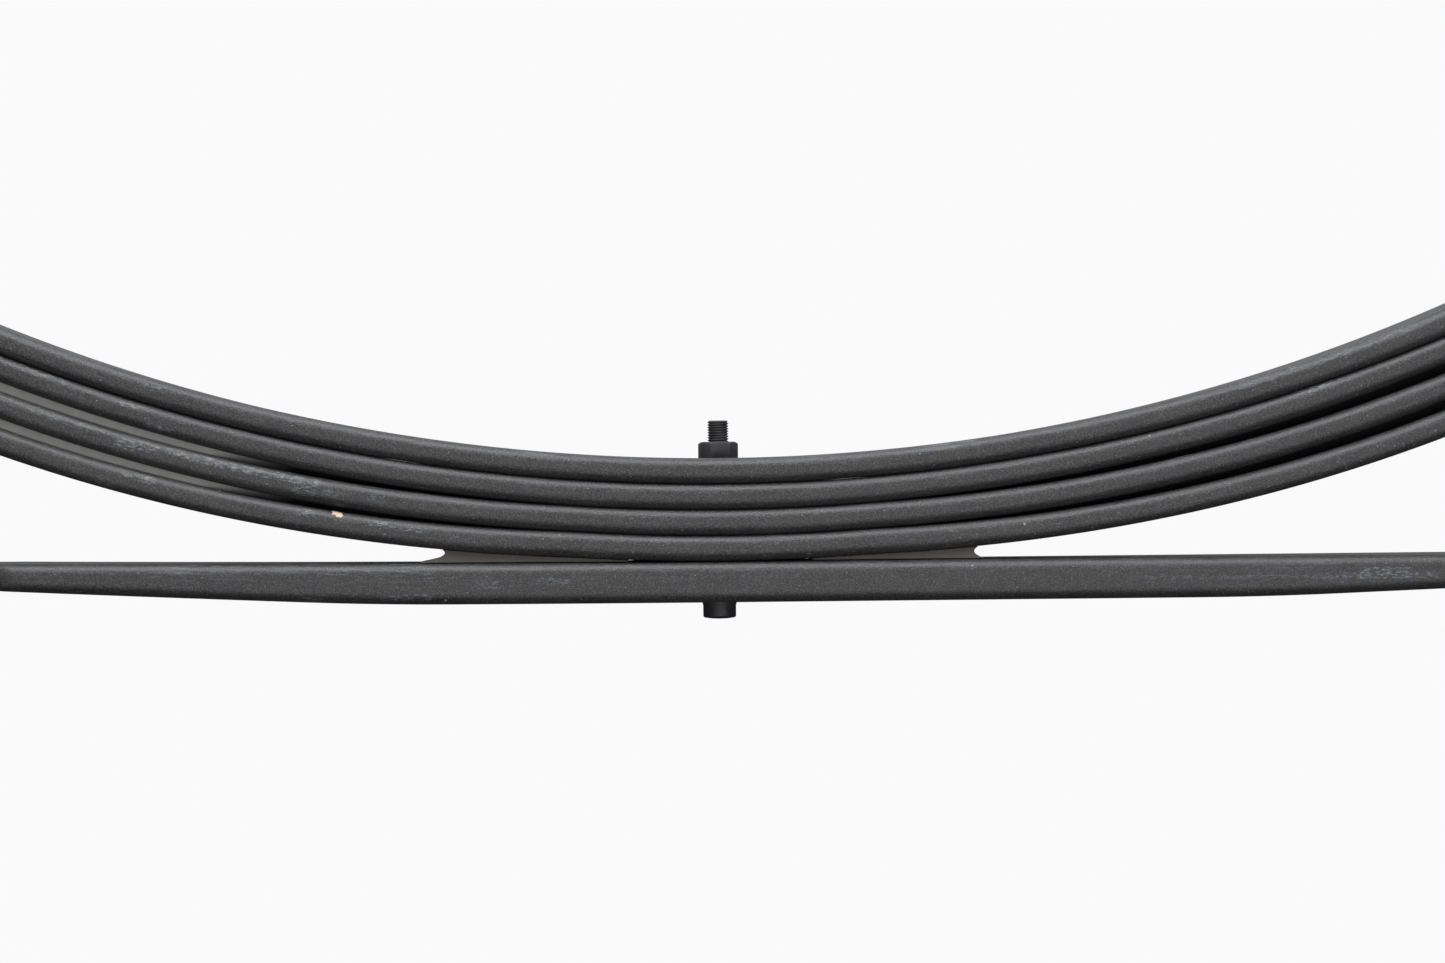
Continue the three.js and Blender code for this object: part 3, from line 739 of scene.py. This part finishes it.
overload.data.materials.append(leaf_paint("overload_leaf_paint", OVERLOAD_THICKNESS, 9, 0.5, rubbed=[
    (-0.200, -0.194, 0.002, 0.004, 0.7), (-0.160, -0.155, 0.003, 0.0045, 0.9),
    (-0.150, -0.140, 0.003, 0.0055, 0.8), (-0.115, -0.108, 0.008, 0.012, 0.6),
    (-0.086, -0.082, 0.010, 0.0125, 0.8), (-0.078, -0.074, 0.010, 0.0125, 0.8),
    (0.200, 0.300, 0.0093, 0.0103, 0.45), (0.288, 0.345, 0.0088, 0.0108, 0.9),
    (0.310, 0.330, 0.009, 0.0135, 0.9)]))
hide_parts("overload_leaf")
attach(overload, "seat")


# ---- Seat wedges ----
# Dark grey polymer wedges on the overload leaf, in front of the bolt and behind it, fill the gap that opens
# under the fourth leaf. Their outer ends are scooped.

wedge_polymer = polymer("wedge_polymer", (0.082, 0.077, 0.066), (0.098, 0.092, 0.080), 3)
for half in SIDE:
    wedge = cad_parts[f"seat_wedge_{half}"]
    wedge.data.materials.clear()
    wedge.data.materials.append(wedge_polymer)


# ---- Centre bolt and nut ----
# One bolt clamps all five leaves. Its plain round head sits below, to locate the axle, and its M10 fine
# thread stands out of a hexagon nut on top. Blackened steel.

def dark_steel(name, seed):
    material, tree, shader = new_material(name)
    place = pattern_place(tree, shift=(seed, seed * 0.7, 0))
    clouds = noise(tree, place, 160, 5)
    colour = mix_colour(tree, remap(tree, clouds, 0.3, 0.7), (0.026, 0.026, 0.027), (0.046, 0.046, 0.047))
    dust = specks(tree, place, 420, 0.09, 0.12)
    colour = mix_colour(tree, times(tree, dust, 0.35), colour, (0.3, 0.29, 0.27))
    tree.links.new(colour, shader.inputs["Base Color"])
    tree.links.new(remap(tree, clouds, 0.3, 0.7, 0.42, 0.58), shader.inputs["Roughness"])
    shader.inputs["Metallic"].default_value = 0.25
    fine = bump(tree, noise(tree, place, 1300, 3), 0.00005)
    tree.links.new(bump(tree, clouds, 0.00012, fine), shader.inputs["Normal"])
    return material


def spun(name, profile, steps=72, bevel=0.0003):
    """A turned piece about Z, from its half section: a closed outline of (radius, height) points."""
    deselect_all()
    bpy.ops.mesh.primitive_plane_add(size=1)
    piece = bpy.context.object
    piece.name = name
    bpy.ops.object.mode_set(mode="EDIT")
    bpy.ops.mesh.select_all(action="SELECT")
    bpy.ops.mesh.delete(type="VERT")
    mesh = bmesh.from_edit_mesh(piece.data)
    corners = [mesh.verts.new((radius, 0, height)) for radius, height in profile]
    rim = [mesh.edges.new((a, b)) for a, b in zip(corners, corners[1:] + corners[:1])
           if a.co.x > 1e-7 or b.co.x > 1e-7]
    for edge in rim:
        edge.select = True
    mesh.select_flush(True)
    bmesh.update_edit_mesh(piece.data)
    bpy.ops.mesh.spin(steps=steps, angle=2 * math.pi, center=(0, 0, 0), axis=(0, 0, 1))
    bpy.ops.mesh.select_all(action="SELECT")
    bpy.ops.mesh.remove_doubles(threshold=1e-6)
    bpy.ops.mesh.normals_make_consistent(inside=False)
    bpy.ops.object.mode_set(mode="OBJECT")
    if bevel:
        round_corners(piece, bevel)
    return piece


def thread(name, radius, pitch, low, high, chamfer):
    """A screw thread about Z between two heights, its top end chamfered.

    The trim at the end comes out empty at some sizes, such as a 5.2 mm radius: try each new size."""
    depth = 0.54 * pitch
    root = radius - depth
    profile = [(root, 0), (root, pitch * 0.15), (radius, pitch * 0.42), (radius, pitch * 0.68), (root, pitch)]
    mesh = bpy.data.meshes.new(name)
    turns = math.ceil((high - low) / pitch) + 3
    mesh.from_pydata([(r, 0, low - 2 * pitch + h) for r, h in profile], [(i, i + 1) for i in range(4)], [])
    piece = bpy.data.objects.new(name, mesh)
    bpy.context.collection.objects.link(piece)
    make_active(piece)
    screw = piece.modifiers.new("turn", "SCREW")
    screw.screw_offset = pitch
    screw.iterations = turns
    screw.steps = screw.render_steps = 48
    screw.use_merge_vertices = True
    screw.merge_threshold = 1e-6
    bpy.ops.object.modifier_apply(modifier="turn")
    bpy.ops.object.mode_set(mode="EDIT")
    bpy.ops.mesh.select_all(action="SELECT")
    bpy.ops.mesh.remove_doubles(threshold=1e-7)
    bpy.ops.mesh.select_all(action="DESELECT")
    bpy.ops.mesh.select_mode(type="EDGE")
    bpy.ops.mesh.select_non_manifold()
    bpy.ops.mesh.fill()
    bpy.ops.mesh.select_all(action="SELECT")
    bpy.ops.mesh.normals_make_consistent(inside=False)
    bpy.ops.object.mode_set(mode="OBJECT")
    stock = spun("stock", [(0, low), (radius * 1.02, low), (radius * 1.02, high - chamfer),
                           (radius * 1.02 - chamfer, high), (0, high)], bevel=0)
    cut_with(piece, stock, "INTERSECT")
    return piece


def join(name, *pieces):
    deselect_all()
    for piece in pieces:
        piece.select_set(True)
    bpy.context.view_layer.objects.active = pieces[0]
    bpy.ops.object.join()
    pieces[0].name = name
    return pieces[0]


def hexagon_nut(name, flats, bore, low, high, both_faces=True):
    """A hexagon about Z, bored through unless bore is 0, its corners turned off at its top or both faces."""
    corner = flats / math.sqrt(3)
    deselect_all()
    bpy.ops.mesh.primitive_cylinder_add(
        vertices=6, radius=corner, depth=high - low, location=(0, 0, (low + high) / 2),
        rotation=(0, 0, math.radians(30)))
    piece = bpy.context.object
    piece.name = name
    bpy.ops.object.transform_apply(location=True, rotation=True, scale=True)
    flat = flats / 2 * 0.97
    drop = (corner - flat) * 0.6
    under = [(0, low), (corner * 1.001, low)]
    if both_faces:
        under = [(0, low), (flat, low), (corner * 1.001, low + drop)]
    turning = spun("turning", under + [(corner * 1.001, high - drop), (flat, high), (0, high)], bevel=0)
    cut_with(piece, turning, "INTERSECT")
    if bore:
        cut_with(piece, rod_cutter(bore, 3 * (high - low), (0, 0, (low + high) / 2)))
    round_corners(piece, 0.00012, 2)
    return piece


def dress(piece, material, node, body, degrees=35):
    smooth(piece, degrees)
    piece.data.materials.clear()
    piece.data.materials.append(material)
    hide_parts(node)
    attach(piece, body)


bolt_steel = dark_steel("bolt_steel", 1)
bolt_low, bolt_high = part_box("centre_bolt")
nut_low, nut_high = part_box("centre_nut")
BOLT_RADIUS = 0.00495
BOLT_CREST = 0.0051
THREAD_PITCH = 0.00125
HEAD_RADIUS = 0.00805
head_under = bolt_low[2]
HEAD_CROWN = 0.0007
head_profile = [(0, head_under), (HEAD_RADIUS * 0.55, head_under + HEAD_CROWN * 0.3),
                (HEAD_RADIUS * 0.93, head_under + HEAD_CROWN), (HEAD_RADIUS, head_under + 0.0014),
                (HEAD_RADIUS, -0.0022), (HEAD_RADIUS * 1.03, -0.0014), (HEAD_RADIUS * 1.05, -CLEARANCE),
                (BOLT_RADIUS, -CLEARANCE), (BOLT_RADIUS, nut_low[2] - 0.002), (0, nut_low[2] - 0.002)]
shank = spun("centre_bolt_shank", head_profile, bevel=0.00025)
bolt_thread = thread(
    "centre_bolt_thread", BOLT_CREST, THREAD_PITCH, nut_low[2] - 0.0025, bolt_high[2], 0.0008)
bolt = join("centre_bolt_turned", shank, bolt_thread)
dress(bolt, bolt_steel, "centre_bolt", "seat")

NUT_FLATS = 0.017
NUT_TURN = math.radians(5)
centre_nut = hexagon_nut(
    "centre_nut_hexagon", NUT_FLATS, BOLT_CREST + CLEARANCE, nut_low[2] - 0.00012, nut_high[2],
    both_faces=False)
centre_nut.data.transform(Matrix.Rotation(NUT_TURN, 4, "Z"))
dress(centre_nut, dark_steel("nut_steel", 2), "centre_nut", "seat")


# ---- Bushes ----
# Each eye holds a pressed-in bush: a thin zinc-plated shell, a moulded rubber sleeve with dished ends, and
# a thick steel core for the eye bolt, turned and slightly longer than the eye is wide.

SHELL = (0.0217, 0.0197, 0.0350)
RUBBER = (0.0194, 0.0123, 0.0370)
CORE = (0.0120, 0.0081, 0.0390)


def zinc_plate(name, seed):
    material, tree, shader = new_material(name)
    place = pattern_place(tree, shift=(seed, seed * 0.4, 0))
    clouds = noise(tree, place, 190, 5, 0.6)
    colour = mix_colour(tree, remap(tree, clouds, 0.3, 0.7), (0.24, 0.245, 0.25), (0.36, 0.365, 0.375))
    stain = remap(tree, noise(tree, place, 60, 4), 0.55, 0.72, 0, 0.5)
    colour = mix_colour(tree, stain, colour, (0.13, 0.125, 0.115))
    tree.links.new(colour, shader.inputs["Base Color"])
    tree.links.new(remap(tree, clouds, 0.3, 0.7, 0.34, 0.5), shader.inputs["Roughness"])
    shader.inputs["Metallic"].default_value = 0.9
    tree.links.new(bump(tree, noise(tree, place, 1500, 3), 0.00004), shader.inputs["Normal"])
    return material


def moulded_rubber(name):
    material, tree, shader = new_material(name)
    place = pattern_place(tree)
    bloom = noise(tree, place, 75, 5)
    colour = mix_colour(tree, remap(tree, bloom, 0.35, 0.7), (0.011, 0.011, 0.011), (0.024, 0.024, 0.025))
    tree.links.new(colour, shader.inputs["Base Color"])
    tree.links.new(remap(tree, bloom, 0.3, 0.7, 0.66, 0.84), shader.inputs["Roughness"])
    tree.links.new(bump(tree, noise(tree, place, 700, 3), 0.0001), shader.inputs["Normal"])
    return material


def put(piece, half, matrix):
    """Moves a piece, drawn for the rear half, to its place, and mirrors it for the front half."""
    piece.data.transform(matrix)
    if half == "front":
        turn_to_front(piece)


def tube_profile(outer, inner, end):
    return [(inner, -end), (outer, -end), (outer, end), (inner, end)]


def dished_profile(outer, inner, end):
    """The half section of a sleeve whose end faces dip between its rim and its bore."""
    over = [(outer, end - 0.0010), (outer - 0.0012, end - 0.0003), (outer - 0.0030, end - 0.0018),
            (inner + 0.0018, end - 0.0016), (inner + 0.0006, end), (inner, end - 0.0004)]
    return [(r, -h) for r, h in reversed(over)] + over


bush_zinc = zinc_plate("bush_zinc", 4)
bush_rubber = moulded_rubber("bush_rubber")
for half in SIDE:
    eye = arch_point(half, EYE_AT[half], -EYE_BORE)
    lie_across = Matrix.Translation(eye) @ Matrix.Rotation(math.pi / 2, 4, "X")
    shell = spun(f"{half}_bush_pressed_shell", tube_profile(*SHELL), bevel=0.0006)
    put(shell, half, lie_across)
    dress(shell, bush_zinc, f"{half}_bush_shell", f"{half}_end")
    rubber = spun(f"{half}_bush_moulded_rubber", dished_profile(*RUBBER), bevel=0.0003)
    put(rubber, half, lie_across)
    dress(rubber, bush_rubber, f"{half}_bush_rubber", f"{half}_end")
    core = spun(f"{half}_bush_turned_core", tube_profile(*CORE), bevel=0.0008)
    put(core, half, lie_across)
    dress(core, bush_zinc, f"{half}_bush_core", f"{half}_core")


# ---- Rebound clips ----
# A painted steel strap, bent to a U and riveted under the fourth leaf, with a plated bolt, a spacer tube
# and a nut across its ears. It keeps the pack together when the axle drops.

CLIP_FROM_TIP = 0.021
CLIP_LENGTH = 0.028
CLIP_STEEL = 0.005
CLIP_INSIDE = LEAF_WIDTH / 2 + 0.001
CLIP_OUTSIDE = CLIP_INSIDE + CLIP_STEEL
CLIP_SEAT_GAP = 0.0006
CLIP_CORNER = 0.006
CLIP_BOLT = 0.004
SPACER_RADIUS = 0.008
CLIP_BOLT_HEIGHT = SPACER_RADIUS + 0.0015
CLIP_EAR = 0.010
CLIP_FLATS = 0.013
CLIP_HEAD = 0.0053
CLIP_NUT = 0.0065
CLIP_BOLT_END = 0.003
RIVET_HEAD = (0.009, 0.005)
RIVET_SHANK = 0.0047


def strap_line(seat):
    """The strap's middle line, from one ear's top, round under the leaves, to the other's."""
    radius = CLIP_CORNER - CLIP_STEEL / 2
    wall = CLIP_INSIDE + CLIP_STEEL / 2
    base = seat - CLIP_STEEL / 2
    half_line = [Vector((0, 0, base)), Vector((wall - radius, 0, base))]
    for i in range(1, 10):
        angle = math.pi / 2 * i / 9
        half_line.append(Vector((
            wall - radius + radius * math.sin(angle), 0, base + radius * (1 - math.cos(angle)))))
    half_line.append(Vector((wall, 0, CLIP_BOLT_HEIGHT + CLIP_EAR)))
    return [Vector((-p.x, 0, p.z)) for p in reversed(half_line[1:])] + half_line


strap_paint = leaf_paint("strap_paint", CLIP_STEEL / 2, 6, 0.8)
clip_zinc = zinc_plate("clip_zinc", 7)
rivet_steel = dark_steel("rivet_steel", 5)
for half in SIDE:
    station = TIP_AT["fourth_leaf"][half] - CLIP_FROM_TIP
    seat = -top_depth("fourth_leaf", half, station) - LEAF_THICKNESS - CLIP_SEAT_GAP
    clip_turn = Matrix.Rotation(-slope(half, station), 4, "Y")
    clip_place = Matrix.Translation(arch_point(half, station, 0)) @ clip_turn
    bolt_rise = Matrix.Translation((0, 0, CLIP_BOLT_HEIGHT))
    bolt_place = clip_place @ bolt_rise @ Matrix.Rotation(math.pi / 2, 4, "X")

    line = strap_line(seat)
    reach = length_of(line) / 2
    strap = straight_bar(f"{half}_clip_bent_strap", reach, CLIP_STEEL, 0.0006, (0.007, 0.008), CLIP_LENGTH)
    make_active(strap)
    twin = strap.modifiers.new("other_half", "MIRROR")
    twin.merge_threshold = 1e-5
    bpy.ops.object.modifier_apply(modifier="other_half")
    cut_with(strap, rod_cutter(RIVET_SHANK + 0.0002, 0.03, (0, 0, 0)))
    for side in SIDE.values():
        cut_with(strap, rod_cutter(CLIP_BOLT + 0.0003, 0.03, (side * (reach - CLIP_EAR), 0, 0)))
    remember_bar(strap, 1)
    strap.data.transform(Matrix.Translation((reach, 0, 0)))
    bend_along(strap, line)
    put(strap, half, clip_place @ Matrix.Rotation(math.pi / 2, 4, "Z"))
    dress(strap, strap_paint, f"{half}_clip_strap", f"{half}_end")

    under = seat - CLIP_STEEL - CLEARANCE
    dome = [(RIVET_HEAD[0] * math.sin(a), under - RIVET_HEAD[1] * math.cos(a))
            for a in (math.pi / 2 * i / 10 for i in range(11))]
    rivet = spun(f"{half}_clip_domed_rivet", dome + [
        (RIVET_SHANK, under), (RIVET_SHANK, seat - 0.0005), (0, seat - 0.0005)], bevel=0.0002)
    put(rivet, half, clip_place)
    dress(rivet, rivet_steel, f"{half}_clip_rivet", f"{half}_end", 50)

    spacer = spun(f"{half}_clip_cut_spacer",
                  tube_profile(SPACER_RADIUS, CLIP_BOLT + 0.0003, CLIP_INSIDE - CLEARANCE),
                  bevel=0.0005)
    put(spacer, half, bolt_place)
    dress(spacer, clip_zinc, f"{half}_clip_spacer", f"{half}_end")

    face = CLIP_OUTSIDE + CLEARANCE
    end = face + CLIP_NUT + CLIP_BOLT_END
    head = hexagon_nut("head", CLIP_FLATS, 0, -face - CLIP_HEAD, -face - 0.0004)
    shank = spun("shank", [(0, -face - 0.001), (CLIP_FLATS * 0.47, -face - 0.001),
                           (CLIP_FLATS * 0.47, -face + 0.0001), (CLIP_BOLT - 0.0002, -face + 0.0001),
                           (CLIP_BOLT - 0.0002, face - 0.004), (0, face - 0.004)],
                 bevel=0.0002)
    screwed = thread("screwed", CLIP_BOLT, 0.00125, face - 0.0045, end, 0.0007)
    clip_bolt = join(f"{half}_clip_hexagon_bolt", shank, head, screwed)
    put(clip_bolt, half, bolt_place)
    dress(clip_bolt, clip_zinc, f"{half}_clip_bolt", f"{half}_end")
    clip_nut = hexagon_nut(f"{half}_clip_hexagon_nut", CLIP_FLATS, CLIP_BOLT + 0.0002, face, face + CLIP_NUT)
    put(clip_nut, half, bolt_place)
    dress(clip_nut, clip_zinc, f"{half}_clip_nut", f"{half}_end")
